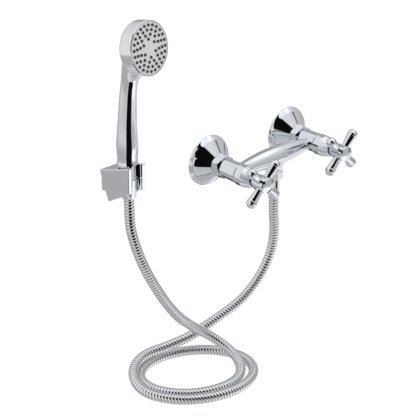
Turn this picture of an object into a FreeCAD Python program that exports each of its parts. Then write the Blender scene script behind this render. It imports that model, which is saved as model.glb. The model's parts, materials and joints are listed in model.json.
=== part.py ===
"""Wall shower mixer set: two-handle mixer, ribbed hose, hand shower and tilting wall holder.

Millimetres. +Z is up, the wall is the plane Y = 0 and the room lies towards -Y.
The origin is on the wall, half way between the two water inlets.
"""
import FreeCAD, Part
import math
import os

Vector = FreeCAD.Vector
OUT = Vector(0, -1, 0)
UP = Vector(0, 0, 1)
SIDE = Vector(1, 0, 0)

# Water inlets and the bodies on them, as distances out from the wall
INLET_SPACING = 150.0
UNION_OFFSET = 5.0
INLET_THREAD_R = 10.48
INLET_THREAD_DEPTH = 18.0
UNION_SHOULDER_R = 12.4
UNION_SHOULDER_OUT = 6.0
UNION_THREAD_R = 13.2
UNION_END_OUT = 26.5
UNION_BORE_R = 7.2
ROSE_R = 35.5
ROSE_EDGE = 0.6
ROSE_SHOULDER_R = 30.6
ROSE_SHOULDER_OUT = 8.5
ROSE_SHOULDER_BULGE = 0.5
ROSE_END_R = 15.6
ROSE_END_OUT = 22.0
ROSE_WALL = 1.3
ROSE_SLEEVE_LENGTH = 5.0
ROSE_END_BEVEL = 0.5
NUT_BEVEL = 1.4
NUT_FLATS = 30.0
NUT_START_OUT = 22.6
NUT_LENGTH = 11.4
NUT_LIP = 2.6
WASHER_T = 2.0
TAIL_FLANGE_R = 12.6
TAIL_NECK_R = 10.6

# Mixer body
BARREL_R = 13.9
BARREL_START_R = 13.1
BARREL_START_OUT = 35.0
BARREL_END_OUT = 64.2
BARREL_START_BEVEL = 0.9
BARREL_END_BEVEL = 0.8
BAR_OUT = 52.0
BAR_MID_R = 13.6
BAR_END_R = 6.8
BAR_WALL = 3.2
BAR_END_WALL = 2.6
OUTLET_R = 11.2
OUTLET_FLARE_R = 12.8
OUTLET_FLARE_START = -2.0
OUTLET_FLARE_MIDDLE = (1.0, 0.5)
OUTLET_FLARE_END = 4.0
OUTLET_BOSS_BOTTOM = -15.2
OUTLET_THREAD_R = 10.48
OUTLET_THREAD_END = -20.5
OUTLET_BORE_R = 6.0

# Ceramic headworks
SEAT_OUT = 44.0
SEAL_T = 2.0
DISC_R = 7.3
DISC_T = 3.0
PORT_PLACE_SHARE = 0.55
PORT_R_SHARE = 0.3
HEADWORK_CHAMBER_R = 7.6
HEADWORK_TAIL_R = 9.0
HEADWORK_THREAD_R = 10.1
HEADWORK_THREAD_LENGTH = 6.0
HEADWORK_HEX_FLATS = 19.0
HEADWORK_HEX_T = 6.0
HEADWORK_WINDOW = (4.5, 7.0)
HEADWORK_WINDOW_STEP = 3.0
HEADWORK_NECK_R = 8.0
HEADWORK_END_OUT = 82.0
SEAL_GROOVE_OUT = 57.2
SEAL_GROOVE_R = 8.1
SEAL_GROOVE_WIDTH = 1.4
TONGUE_WIDTH = 3.0
TONGUE_DEPTH = 1.4
SPINDLE_R = 4.1
SPINDLE_COLLAR_R = 6.8
SPLINE_R = 3.9
SPLINE_END_OUT = 103.5
SPLINE_TEETH = 20
SPLINE_GROOVE_R = 0.28
BONNET_R = 14.7
BONNET_TAPER_OUT = 75.5
BONNET_END_R = 11.3
BONNET_START_EDGE_R = 1.3
BONNET_END_EDGE_R = 1.2
BONNET_MOUTH_GAP = 1.0
BONNET_END_OUT = 89.5
BONNET_WALL = 1.9
BONNET_WEB_OUT = 74.5
BONNET_WEB_T = 4.0

# Cross handles
HANDLE_OUT = 106.0
HANDLE_NECK_R = 8.0
HANDLE_NECK_OUT = 85.5
HUB_START_OUT = 96.0
HUB_END_OUT = 115.0
HUB_R = 10.9
HUB_START_BEVEL = 1.6
HUB_NECK_STEP = 1.0
HUB_END_BEVEL = (1.2, 0.9)
ARM_REACH = 29.4
ARM_TIP_R = 7.3
ARM_END_SHARE = 0.98
ARM_ROOT_R = 4.9
ARM_ROOT_REACH = 8.0
ARM_COUNT = 4
ARM_TILT_DEG = 45.0
HUB_WEB_T = 2.6
HUB_POCKET_R = 8.4
CAP_R = 10.7
CAP_RISE = 2.4
CAP_PLUG_LENGTH = 5.0
CAP_EDGE = 0.5
CAP_WALL = 1.5
CAP_TOP_T = 1.9
SCREW_R = 1.9
SCREW_HEAD_R = 3.6
SCREW_HEAD_T = 2.4
SCREW_LENGTH = 11.0
SCREW_SLOT = 1.0

# Hose and its ends
HOSE_R = 6.75
HOSE_VALLEY_R = 6.15
HOSE_BORE_R = 4.6
HOSE_RIB_PITCH = 8.0
RIB_CREST = (0.22, 0.62)
RIB_GROOVE_START = 0.84
ROUTE_ARC_SHARE = 0.45
HOSE_NUT_R = 11.9
HOSE_NUT_LENGTH = 11.6
HOSE_NUT_BOTTOM = -27.4
HOSE_NUT_LIP = 2.4
HOSE_NUT_BOTTOM_BEVEL = 1.2
HOSE_NUT_TOP_BEVEL = 0.8
FERRULE_R = 7.6
FERRULE_BOTTOM_BEVEL = 0.9
FERRULE_TOP_BEVEL = 0.6
TAIL_R = 10.1
TAIL_FLANGE_T = 2.0
TAIL_SLEEVE_R = 7.0
BARB_R = 4.3
BARB_BORE_R = 3.1
BARB_REACH = 9.0
HOSE_START_DOWN = -58.0

# Free routes of the hose, chosen point by point
HOSE_DROP = [(0, -52, -58), (0, -52, -80), (3, -52, -105), (1, -51, -133), (-9, -49, -160),
             (-28, -47, -184), (-54, -44, -204), (-88, -39.5, -216), (-114, -36, -224)]
HOSE_LEAD_IN = [(-114, -36, -224), (-140, -32.5, -232), (-176, -23, -238), (-205, -15.8, -239.5),
                (-228, -21, -242), (-246.2, -35.8, -245), (-255.3, -55.8, -249)]
HOSE_LEAD_OUT = [(-112, -79, -240.5), (-118.5, -63, -231.5), (-131, -53.5, -220), (-148, -50.5, -206),
                 (-166, -56, -189)]
HOSE_RISE = [(-166, -56, -189), (-184, -61.5, -172), (-208.5, -64.5, -140), (-226.5, -63, -108),
             (-240, -59, -78), (-249, -54, -48), (-253.5, -49, -20), (-252, -46, 2.5), (-252, -46, 22.5)]

# Loops of the hose that lie flat: an oval that winds inwards
LOOP_X = -172.5
LOOP_Y = -77.0
LOOP_Z = -255.5
LOOP_TURN_DEG = -29.5
LOOP_LONG = 92.0
LOOP_SHORT = 68.5
LOOP_LONG_PITCH = 18.0
LOOP_SHORT_PITCH = 14.4
LOOP_START_DEG = 217.5
LOOP_STEP_DEG = 22.5
LOOP_POINTS = 24
LOOP_ENTRY_RISE = 2.5
LOOP_ENTRY_DEG = 30.0
LOOP_EXIT_DEG = 695.0
LOOP_EXIT_CLIMB = 0.25

# Hand shower
SHOWER_X = -252.0
SHOWER_OUT = 46.0
CONE_TOP = 49.0
CONE_BOTTOM = 22.5
CONE_TOP_R = 11.8
CONE_BOTTOM_R = 9.3
CONE_BOTTOM_BEVEL = 0.6
CONE_TOP_BEVEL = 0.8
CONE_THREAD_R = 10.45
CONE_THREAD_DEPTH = 11.5
CONNECTOR_R = 10.3
CONNECTOR_TAPER = 0.3
CONNECTOR_BORE_R = 6.2
GRIP_BOTTOM = 69.5
# Grip sections: share of the height from the grip's foot to the head's middle, radius, lean, tip in degrees
GRIP_SECTIONS = [(0.0, 13.6, -0.6, 0), (0.1, 13.4, -0.5, 0), (0.28, 12.6, 0.1, 1),
                 (0.42, 11.6, 1.2, 2), (0.56, 10.8, 2.8, 5), (0.68, 10.3, 5.0, 10),
                 (0.775, 11.5, 8.2, 18), (0.855, 14.4, 13.0, 32), (0.92, 16.5, 22.0, 52),
                 (0.96, 15.0, 31.0, 70)]
GRIP_WALL = 2.4
WATERWAY_LINING = 1.2
SPIGOT_R = 9.2
SPIGOT_LENGTH = 6.0
HEAD_R = 33.0
HEAD_DEPTH = 20.5
HEAD_BACK_STEP = 6.0
HEAD_ROUND_START = 4.5
HEAD_ROUND_MIDDLE = (1.2, 1.6)
HEAD_BULGE = 1.6
HEAD_HEIGHT = 219.7
HEAD_REACH = 40.0
HEAD_TURN_DEG = 9.0
HEAD_TILT_DEG = 10.0
HEAD_WALL = 2.2
BEZEL_WIDTH = 2.0
BEZEL_T = 3.4
BEZEL_BEVEL = 0.6
FACE_T = 2.4
MAT_T = 1.6
MAT_MARGIN = 1.5
NOZZLE_ROOT = 0.2
NOZZLE_R = 1.75
NOZZLE_STAND = 0.7
NOZZLE_RING_COUNTS = (6, 12, 18, 24)
NOZZLE_RING_SHARES = (0.33, 0.494, 0.66, 0.827)
FACE_RECESS = 0.4
FEED_R = 0.9
NOZZLE_CLEARANCE = 0.05
SPREADER_T = 2.2
FACE_SEAL_R = 1.0

# Wall holder, outline as distance out from the wall and height
HOLDER_HALF = 13.9
HOLDER_BACK_TOP = (6.0, 51.4)
HOLDER_FRONT_TOP = (63.2, 70.2)
HOLDER_FRONT_BOTTOM = (62.2, 35.2)
HOLDER_BACK_BOTTOM = (21.6, 12.0)
HOLDER_SLOT_HALF = 8.6
HOLDER_SOCKET_GAP = 0.3
HOLDER_CAVITY_HALF = 6.3
HOLDER_CAVITY_OUT = 31.0
HOLDER_TOP_SKIN = 4.5
HOLDER_EDGE_R = 1.2
PIVOT_OUT = 22.0
PIVOT_Z = 32.0
PIVOT_PIN_R = 2.5
PIVOT_PIN_BLIND = 2.4
PIN_HEAD_R = 4.4
PIN_HEAD_T = 2.0
PIN_SOCKET_FLATS = 3.0
PIN_SOCKET_FLOOR = 0.6
TONGUE_HALF = 5.4
TONGUE_R = 6.0
FRICTION_WASHER_T = 0.7
FRICTION_WASHER_MARGIN = 0.6
BASE_HALF = 6.2
BASE_HEIGHT = 32.0
BASE_T = 5.5
WALL_HOLE_SPACING = 21.6
WALL_HOLE_R = 2.1
WALL_HOLE_SINK_R = 4.0
WALL_HOLE_SINK = 1.9

RUNNING_GAP = 0.05
LOOSE_GAP = 0.3
FIT_GAP = 0.1

# How far the middle of a quarter round of radius 1 lies inside its corner
ROUND_CUT = 1 - math.sqrt(0.5)

VALVE_Z = UNION_OFFSET
SIDES = {"hot": -INLET_SPACING / 2, "cold": INLET_SPACING / 2}


def cylinder(radius, start, direction, length):
    return Part.makeCylinder(radius, length, start, direction)


def turned(outline, origin, axis, across):
    """Solid of revolution. Points are (along, radius); four numbers are an arc's middle and end."""
    def place(along, radius):
        return origin + axis * along + across * radius

    edges = []
    last = place(*outline[0])
    for point in outline[1:]:
        end = place(*point[-2:])
        if len(point) == 4:
            edges.append(Part.Arc(last, place(*point[:2]), end).toShape())
        else:
            edges.append(Part.makeLine(last, end))
        last = end
    edges.append(Part.makeLine(last, place(*outline[0])))
    return Part.Face(Part.Wire(edges)).revolve(origin, axis, 360)


def hexagon(flats, origin, axis, length):
    """Hexagonal prism along the axis, corners up and down."""
    radius = flats / math.sqrt(3)
    start = Part.makePolygon([origin + FreeCAD.Rotation(axis, 60 * k).multVec(UP * radius)
                              for k in range(7)])
    return Part.Face(start).extrude(axis * length)


def prism(outline, x_low, x_high):
    """Prism across X from an outline of (distance out from the wall, height) points."""
    corners = [Vector(x_low, -out, z) for out, z in outline]
    return Part.Face(Part.makePolygon(corners + corners[:1])).extrude(SIDE * (x_high - x_low))


def clean(shape):
    shape = shape.removeSplitter()
    return shape.Solids[0] if len(shape.Solids) == 1 else shape


def valve_origin(x):
    return Vector(x, 0, VALVE_Z)


def valve_point(x, out):
    return Vector(x, -out, VALVE_Z)


def union(x):
    """Offset union: thread into the wall pipe, shoulder, and the larger thread for the nut."""
    wall_end = cylinder(INLET_THREAD_R, Vector(x, INLET_THREAD_DEPTH, 0), OUT, INLET_THREAD_DEPTH + 1)
    shoulder = cylinder(UNION_SHOULDER_R, Vector(x, -LOOSE_GAP, 0), OUT, UNION_SHOULDER_OUT - LOOSE_GAP)
    front_start = UNION_SHOULDER_OUT - 2
    front = cylinder(UNION_THREAD_R, valve_point(x, front_start), OUT, UNION_END_OUT - front_start)
    body = wall_end.fuse([shoulder, front])
    wall_bore = cylinder(UNION_BORE_R, Vector(x, INLET_THREAD_DEPTH, 0), OUT,
                         INLET_THREAD_DEPTH + UNION_SHOULDER_OUT)
    front_bore = cylinder(UNION_BORE_R, valve_point(x, front_start), OUT, UNION_END_OUT)
    return clean(body.cut(wall_bore.fuse(front_bore)))


def rose(x):
    """Hollow wall rose: gently domed shoulder, steeper cone and a sleeve round the union."""
    bore = UNION_THREAD_R + FIT_GAP
    sleeve_out = ROSE_END_OUT - ROSE_SLEEVE_LENGTH
    slope = (ROSE_SHOULDER_R - ROSE_END_R) / (ROSE_END_OUT - ROSE_SHOULDER_OUT)
    inner_end_r = ROSE_END_R - ROSE_WALL + slope * (ROSE_END_OUT - sleeve_out)
    width = ROSE_SHOULDER_OUT - ROSE_EDGE
    drop = ROSE_R - ROSE_SHOULDER_R
    lift = ROSE_SHOULDER_BULGE / math.hypot(width, drop)
    outline = [(0, ROSE_R), (ROSE_EDGE, ROSE_R),
               (ROSE_EDGE + width / 2 + drop * lift, ROSE_R - drop / 2 + width * lift,
                ROSE_SHOULDER_OUT, ROSE_SHOULDER_R),
               (ROSE_END_OUT - ROSE_END_BEVEL, ROSE_END_R), (ROSE_END_OUT, ROSE_END_R - ROSE_END_BEVEL),
               (ROSE_END_OUT, bore), (sleeve_out, bore), (sleeve_out, inner_end_r),
               (ROSE_SHOULDER_OUT - ROSE_WALL, ROSE_SHOULDER_R - ROSE_WALL),
               (ROSE_EDGE, ROSE_R - ROSE_WALL), (0, ROSE_R - ROSE_WALL)]
    return turned(outline, valve_origin(x), OUT, SIDE)


def union_nut(x):
    """Hexagon nut with bevelled corners and an inner lip that pulls on the body's flange."""
    corner = NUT_FLATS / math.sqrt(3)
    end = NUT_START_OUT + NUT_LENGTH
    bevel = NUT_BEVEL
    blank = hexagon(NUT_FLATS, valve_point(x, NUT_START_OUT), OUT, NUT_LENGTH)
    cone = turned([(NUT_START_OUT, 0), (NUT_START_OUT, corner - bevel), (NUT_START_OUT + bevel, corner),
                   (end - bevel, corner), (end, corner - bevel), (end, 0)], valve_origin(x), OUT, SIDE)
    thread = cylinder(UNION_THREAD_R + FIT_GAP, valve_point(x, NUT_START_OUT), OUT, NUT_LENGTH - NUT_LIP)
    lip = cylinder(TAIL_NECK_R + FIT_GAP, valve_point(x, NUT_START_OUT), OUT, NUT_LENGTH)
    return clean(blank.common(cone).cut(thread.fuse(lip)))


def union_washer(x):
    return turned([(UNION_END_OUT, UNION_BORE_R), (UNION_END_OUT, TAIL_FLANGE_R),
                   (UNION_END_OUT + WASHER_T, TAIL_FLANGE_R), (UNION_END_OUT + WASHER_T, UNION_BORE_R)],
                  valve_origin(x), OUT, SIDE)


def barrel(x):
    """One end of the body: flange held by the nut, neck, and the round barrel for the headwork."""
    flange_out = UNION_END_OUT + WASHER_T
    neck_out = NUT_START_OUT + NUT_LENGTH - NUT_LIP
    return turned([(flange_out, 0), (flange_out, TAIL_FLANGE_R), (neck_out - FIT_GAP, TAIL_FLANGE_R),
                   (neck_out - FIT_GAP, TAIL_NECK_R), (BARREL_START_OUT, TAIL_NECK_R),
                   (BARREL_START_OUT, BARREL_START_R - BARREL_START_BEVEL),
                   (BARREL_START_OUT + BARREL_START_BEVEL, BARREL_START_R),
                   (BARREL_END_OUT - BARREL_END_BEVEL, BARREL_R),
                   (BARREL_END_OUT, BARREL_R - BARREL_END_BEVEL), (BARREL_END_OUT, 0)],
                  valve_origin(x), OUT, SIDE)


def barrel_bore(x):
    """Waterway up to the seat, then the chamber and thread that take the headwork."""
    flange_out = UNION_END_OUT + WASHER_T
    thread_out = BARREL_END_OUT - HEADWORK_THREAD_LENGTH
    return turned([(flange_out, 0), (flange_out, UNION_BORE_R), (SEAT_OUT, UNION_BORE_R),
                   (SEAT_OUT, HEADWORK_TAIL_R + LOOSE_GAP), (thread_out, HEADWORK_TAIL_R + LOOSE_GAP),
                   (thread_out, HEADWORK_THREAD_R + FIT_GAP), (BARREL_END_OUT, HEADWORK_THREAD_R + FIT_GAP),
                   (BARREL_END_OUT, 0)], valve_origin(x), OUT, SIDE)


def bar_solid(middle_r, end_r, half_length):
    """Bar between the barrels, swelling towards the middle."""
    centre = Vector(0, -BAR_OUT, VALVE_Z)
    return turned([(-half_length, 0), (-half_length, end_r), (0, middle_r, half_length, end_r),
                   (half_length, 0)], centre, SIDE, UP)


def mixer_body():
    half = INLET_SPACING / 2 - BARREL_R / 2
    bar = bar_solid(BAR_MID_R, BAR_END_R, half)
    boss_end = VALVE_Z - OUTLET_BOSS_BOTTOM
    thread_end = VALVE_Z - OUTLET_THREAD_END
    outlet = turned([(0, 0), (0, OUTLET_FLARE_R), (BAR_MID_R + OUTLET_FLARE_START, OUTLET_FLARE_R),
                     (BAR_MID_R + OUTLET_FLARE_MIDDLE[0], OUTLET_R + OUTLET_FLARE_MIDDLE[1],
                      BAR_MID_R + OUTLET_FLARE_END, OUTLET_R), (boss_end, OUTLET_R),
                     (boss_end, OUTLET_THREAD_R), (thread_end, OUTLET_THREAD_R), (thread_end, 0)],
                    Vector(0, -BAR_OUT, VALVE_Z), UP * -1, SIDE)
    ends = [barrel(x) for x in SIDES.values()]
    solid = bar.fuse(ends + [outlet])
    bores = [barrel_bore(x) for x in SIDES.values()]
    chamber = bar_solid(BAR_MID_R - BAR_WALL, BAR_END_R - BAR_END_WALL, half + 2)
    down = cylinder(OUTLET_BORE_R, Vector(0, -BAR_OUT, VALVE_Z), UP * -1, thread_end)
    return clean(solid.cut(bores[0].fuse([bores[1], chamber, down])))


def seat_seal(x):
    end = SEAT_OUT + SEAL_T
    return turned([(SEAT_OUT, UNION_BORE_R), (SEAT_OUT, HEADWORK_TAIL_R), (end, HEADWORK_TAIL_R),
                   (end, UNION_BORE_R)], valve_origin(x), OUT, SIDE)


def headwork_body(x):
    """Brass headwork: open tail with side windows, thread, hexagon and the neck for the bonnet."""
    tail = SEAT_OUT + SEAL_T
    chamber_end = tail + 2 * DISC_T + 4
    thread_start = BARREL_END_OUT - HEADWORK_THREAD_LENGTH
    hex_start = BARREL_END_OUT
    hex_end = hex_start + HEADWORK_HEX_T
    bore = SPINDLE_R + RUNNING_GAP
    profile = [(tail, HEADWORK_CHAMBER_R), (tail, HEADWORK_TAIL_R), (thread_start, HEADWORK_TAIL_R),
               (thread_start, HEADWORK_THREAD_R), (hex_start, HEADWORK_THREAD_R),
               (hex_start, HEADWORK_NECK_R), (HEADWORK_END_OUT, HEADWORK_NECK_R),
               (HEADWORK_END_OUT, bore), (chamber_end, bore),
               (chamber_end, HEADWORK_CHAMBER_R)]
    body = turned(profile, valve_origin(x), OUT, SIDE)
    collar = hexagon(HEADWORK_HEX_FLATS, valve_point(x, hex_start), OUT, hex_end - hex_start)
    collar = collar.cut(cylinder(bore, valve_point(x, hex_start), OUT, HEADWORK_HEX_T))
    depth, height = HEADWORK_WINDOW
    window_out = tail + 2 * DISC_T + HEADWORK_WINDOW_STEP
    window = Part.makeBox(4 * HEADWORK_TAIL_R, depth, height,
                          Vector(x - 2 * HEADWORK_TAIL_R, -window_out, VALVE_Z - height / 2))
    groove = turned([(SEAL_GROOVE_OUT - SEAL_GROOVE_WIDTH / 2, SEAL_GROOVE_R),
                     (SEAL_GROOVE_OUT - SEAL_GROOVE_WIDTH / 2, 2 * HEADWORK_TAIL_R),
                     (SEAL_GROOVE_OUT + SEAL_GROOVE_WIDTH / 2, 2 * HEADWORK_TAIL_R),
                     (SEAL_GROOVE_OUT + SEAL_GROOVE_WIDTH / 2, SEAL_GROOVE_R)], valve_origin(x), OUT, SIDE)
    return clean(body.fuse(collar).cut(window.fuse(groove)))


def tongue_box(x, width, depth, out):
    """Block across the axis that drives the moving disc."""
    return Part.makeBox(width, depth, 2 * DISC_R, Vector(x - width / 2, -out - depth, VALVE_Z - DISC_R))


def disc(x, start, turn_deg):
    """Ceramic disc with two opposite ports."""
    blank = cylinder(DISC_R, valve_point(x, start), OUT, DISC_T)
    for side in (0, 180):
        offset = FreeCAD.Rotation(OUT, turn_deg + side).multVec(UP * (DISC_R * PORT_PLACE_SHARE))
        blank = blank.cut(cylinder(DISC_R * PORT_R_SHARE, valve_point(x, start) + offset, OUT, DISC_T))
    return blank


def moving_disc(x):
    """Disc that turns on the fixed one, with a slot for the spindle's tongue."""
    start = SEAT_OUT + SEAL_T + DISC_T + RUNNING_GAP / 2
    slot_depth = TONGUE_DEPTH + RUNNING_GAP
    slot = tongue_box(x, TONGUE_WIDTH, slot_depth, start + DISC_T - slot_depth)
    return clean(disc(x, start, 90).cut(slot))


def spindle(x):
    """Spindle: driving tongue, collar under the shoulder, round shank and the splined end."""
    tongue_out = SEAT_OUT + SEAL_T + 2 * DISC_T + RUNNING_GAP
    collar_end = tongue_out + 4 - 2 * RUNNING_GAP
    shank = turned([(tongue_out, 0), (tongue_out, SPINDLE_COLLAR_R), (collar_end, SPINDLE_COLLAR_R),
                    (collar_end, SPINDLE_R), (HEADWORK_END_OUT + 2, SPINDLE_R),
                    (HEADWORK_END_OUT + 2, SPLINE_R), (SPLINE_END_OUT, SPLINE_R), (SPLINE_END_OUT, 0)],
                   valve_origin(x), OUT, SIDE)
    grooves = []
    for k in range(SPLINE_TEETH):
        direction = FreeCAD.Rotation(OUT, 360 / SPLINE_TEETH * k).multVec(UP)
        groove = cylinder(SPLINE_GROOVE_R, valve_point(x, HEADWORK_END_OUT + 4) + direction * SPLINE_R, OUT,
                          SPLINE_END_OUT)
        grooves.append(groove)
    hole = cylinder(SCREW_R + RUNNING_GAP, valve_point(x, SPLINE_END_OUT - SCREW_LENGTH + 1), OUT,
                    SCREW_LENGTH)
    tongue = tongue_box(x, TONGUE_WIDTH - 2 * RUNNING_GAP, TONGUE_DEPTH + RUNNING_GAP,
                        tongue_out - TONGUE_DEPTH)
    tongue = tongue.common(cylinder(SPINDLE_COLLAR_R, valve_point(x, tongue_out - TONGUE_DEPTH), OUT,
                                    TONGUE_DEPTH + 1))
    return clean(shank.cut(grooves[0].fuse(grooves[1:])).cut(hole).fuse(tongue))


def headwork_seal(x):
    """O-ring in the groove that keeps water away from the headwork's thread."""
    room = HEADWORK_TAIL_R + LOOSE_GAP - SEAL_GROOVE_R
    minor = room / 2 - RUNNING_GAP / 4
    return ring(valve_point(x, SEAL_GROOVE_OUT), OUT, SEAL_GROOVE_R + room / 2, minor)


def bonnet(x):
    """Polished sleeve over the headwork, screwed on its neck by an inner web."""
    start = BARREL_END_OUT + LOOSE_GAP
    inner = BONNET_R - BONNET_WALL
    bore = HEADWORK_NECK_R + FIT_GAP
    web_end = BONNET_WEB_OUT + BONNET_WEB_T
    mouth = HANDLE_NECK_R + BONNET_MOUTH_GAP
    near = BONNET_START_EDGE_R
    far = BONNET_END_EDGE_R
    return turned([(start, inner), (start, BONNET_R - near),
                   (start + near * ROUND_CUT, BONNET_R - near * ROUND_CUT, start + near, BONNET_R),
                   (BONNET_TAPER_OUT, BONNET_R), (BONNET_END_OUT - far, BONNET_END_R),
                   (BONNET_END_OUT - far * ROUND_CUT, BONNET_END_R - far * ROUND_CUT,
                    BONNET_END_OUT, BONNET_END_R - far),
                   (BONNET_END_OUT, mouth), (web_end, mouth), (web_end, bore), (BONNET_WEB_OUT, bore),
                   (BONNET_WEB_OUT, inner)], valve_origin(x), OUT, SIDE)


def handle(x):
    """Cross handle: turned hub and neck, and club-shaped arms ending in round tips."""
    pocket_out = SPLINE_END_OUT + HUB_WEB_T
    hub = turned([(HANDLE_NECK_OUT, 0), (HANDLE_NECK_OUT, HANDLE_NECK_R),
                  (HUB_START_OUT - HUB_NECK_STEP, HANDLE_NECK_R), (HUB_START_OUT, HUB_R - HUB_START_BEVEL),
                  (HUB_START_OUT + HUB_START_BEVEL, HUB_R), (HUB_END_OUT - HUB_END_BEVEL[0], HUB_R),
                  (HUB_END_OUT, HUB_R - HUB_END_BEVEL[1]), (HUB_END_OUT, 0)],
                 valve_origin(x), OUT, SIDE)
    centre = valve_point(x, HANDLE_OUT)
    arms = []
    for k in range(ARM_COUNT):
        direction = FreeCAD.Rotation(OUT, ARM_TILT_DEG + 360 / ARM_COUNT * k).multVec(UP)
        arms.append(Part.makeCone(ARM_ROOT_R, ARM_TIP_R * ARM_END_SHARE, ARM_REACH - ARM_ROOT_REACH,
                                  centre + direction * ARM_ROOT_REACH, direction))
        arms.append(Part.makeSphere(ARM_TIP_R, centre + direction * ARM_REACH))
    solid = hub.fuse(arms)
    spline = cylinder(SPLINE_R + RUNNING_GAP, valve_point(x, HANDLE_NECK_OUT), OUT,
                      SPLINE_END_OUT - HANDLE_NECK_OUT + RUNNING_GAP)
    hole = cylinder(SCREW_R + FIT_GAP, valve_point(x, HANDLE_NECK_OUT), OUT, HANDLE_OUT)
    hole = hole.common(cylinder(HUB_R, valve_point(x, HANDLE_NECK_OUT), OUT, HUB_END_OUT - HANDLE_NECK_OUT))
    pocket = cylinder(HUB_POCKET_R, valve_point(x, pocket_out), OUT, HUB_END_OUT - pocket_out)
    return clean(solid.cut(spline.fuse([hole, pocket])))


def handle_screw(x):
    """Cheese-head screw with a slot, down the handle into the spindle."""
    seat = SPLINE_END_OUT + HUB_WEB_T
    shank = cylinder(SCREW_R, valve_point(x, seat - SCREW_LENGTH), OUT, SCREW_LENGTH)
    head = cylinder(SCREW_HEAD_R, valve_point(x, seat), OUT, SCREW_HEAD_T)
    slot = Part.makeBox(2 * SCREW_HEAD_R, SCREW_SLOT, SCREW_SLOT,
                        Vector(x - SCREW_HEAD_R, -(seat + SCREW_HEAD_T), VALVE_Z - SCREW_SLOT / 2))
    return clean(shank.fuse(head).cut(slot))


def handle_cap(x):
    """Flat-domed push-in cap over the handle screw, with a hollow plug."""
    plug_r = HUB_POCKET_R - FIT_GAP
    inner_r = plug_r - CAP_WALL
    plug_end = HUB_END_OUT - CAP_PLUG_LENGTH
    seam = HUB_END_OUT + FIT_GAP
    edge = seam + CAP_EDGE
    rise = CAP_RISE - CAP_EDGE
    dome_r = (CAP_R ** 2 + rise ** 2) / (2 * rise)
    half_angle = math.asin(CAP_R / dome_r) / 2
    middle = (seam + CAP_RISE - dome_r * (1 - math.cos(half_angle)), dome_r * math.sin(half_angle))
    ceiling = seam + CAP_RISE - CAP_TOP_T
    return turned([(plug_end, inner_r), (plug_end, plug_r), (seam, plug_r), (seam, CAP_R - CAP_EDGE),
                   (edge, CAP_R), (*middle, seam + CAP_RISE, 0), (ceiling, 0), (ceiling, inner_r)],
                  valve_origin(x), OUT, SIDE)


def ring(origin, axis, major, minor):
    return Part.makeTorus(major, minor, origin, axis)


def hose_nut():
    """Round coupling nut on the outlet, with a lip under the tail's flange."""
    centre = Vector(0, -BAR_OUT, HOSE_NUT_BOTTOM)
    bore = OUTLET_THREAD_R + FIT_GAP
    outline = [(0, TAIL_SLEEVE_R + FIT_GAP), (0, HOSE_NUT_R - HOSE_NUT_BOTTOM_BEVEL),
               (HOSE_NUT_BOTTOM_BEVEL, HOSE_NUT_R), (HOSE_NUT_LENGTH - HOSE_NUT_TOP_BEVEL, HOSE_NUT_R),
               (HOSE_NUT_LENGTH, HOSE_NUT_R - HOSE_NUT_TOP_BEVEL),
               (HOSE_NUT_LENGTH, bore), (HOSE_NUT_LIP, bore), (HOSE_NUT_LIP, TAIL_SLEEVE_R + FIT_GAP)]
    return turned(outline, centre, UP, SIDE)


def hose_tail(origin, flange_bottom, sleeve_bottom, barb_bottom):
    """Turned insert: flange on the washer, sleeve through the nut, barb inside the hose."""
    return turned([(barb_bottom, BARB_BORE_R), (barb_bottom, BARB_R), (sleeve_bottom, BARB_R),
                   (sleeve_bottom, TAIL_SLEEVE_R), (flange_bottom, TAIL_SLEEVE_R), (flange_bottom, TAIL_R),
                   (flange_bottom + TAIL_FLANGE_T, TAIL_R), (flange_bottom + TAIL_FLANGE_T, BARB_BORE_R)],
                  origin, UP, SIDE)


def flat_washer(origin, bottom, outer, inner, thickness):
    top = bottom + thickness
    return turned([(bottom, inner), (bottom, outer), (top, outer), (top, inner)], origin, UP, SIDE)


def ferrule():
    """Crimped sleeve between the nut and the first rib."""
    top = HOSE_NUT_BOTTOM - LOOSE_GAP
    centre = Vector(0, -BAR_OUT, 0)
    return turned([(HOSE_START_DOWN, BARB_R + FIT_GAP), (HOSE_START_DOWN, FERRULE_R - FERRULE_BOTTOM_BEVEL),
                   (HOSE_START_DOWN + FERRULE_BOTTOM_BEVEL, FERRULE_R), (top - FERRULE_TOP_BEVEL, FERRULE_R),
                   (top, FERRULE_R - FERRULE_TOP_BEVEL),
                   (top, BARB_R + FIT_GAP)], centre, UP, SIDE)


def loop_point(angle_deg):
    """Point of the oval spiral that the lying loops follow."""
    angle = math.radians(angle_deg)
    turns = (angle_deg - 180) / 360
    across = (LOOP_LONG - LOOP_LONG_PITCH * turns) * math.cos(angle)
    along = (LOOP_SHORT - LOOP_SHORT_PITCH * turns) * math.sin(angle)
    spin = math.radians(LOOP_TURN_DEG)
    entry = LOOP_ENTRY_RISE * max(0, 1 - (angle_deg - LOOP_START_DEG) / LOOP_ENTRY_DEG)
    climb = LOOP_EXIT_CLIMB * max(0, angle_deg - LOOP_EXIT_DEG)
    return Vector(LOOP_X + math.cos(spin) * across - math.sin(spin) * along,
                  LOOP_Y + math.sin(spin) * across + math.cos(spin) * along,
                  LOOP_Z + entry + climb)


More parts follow.
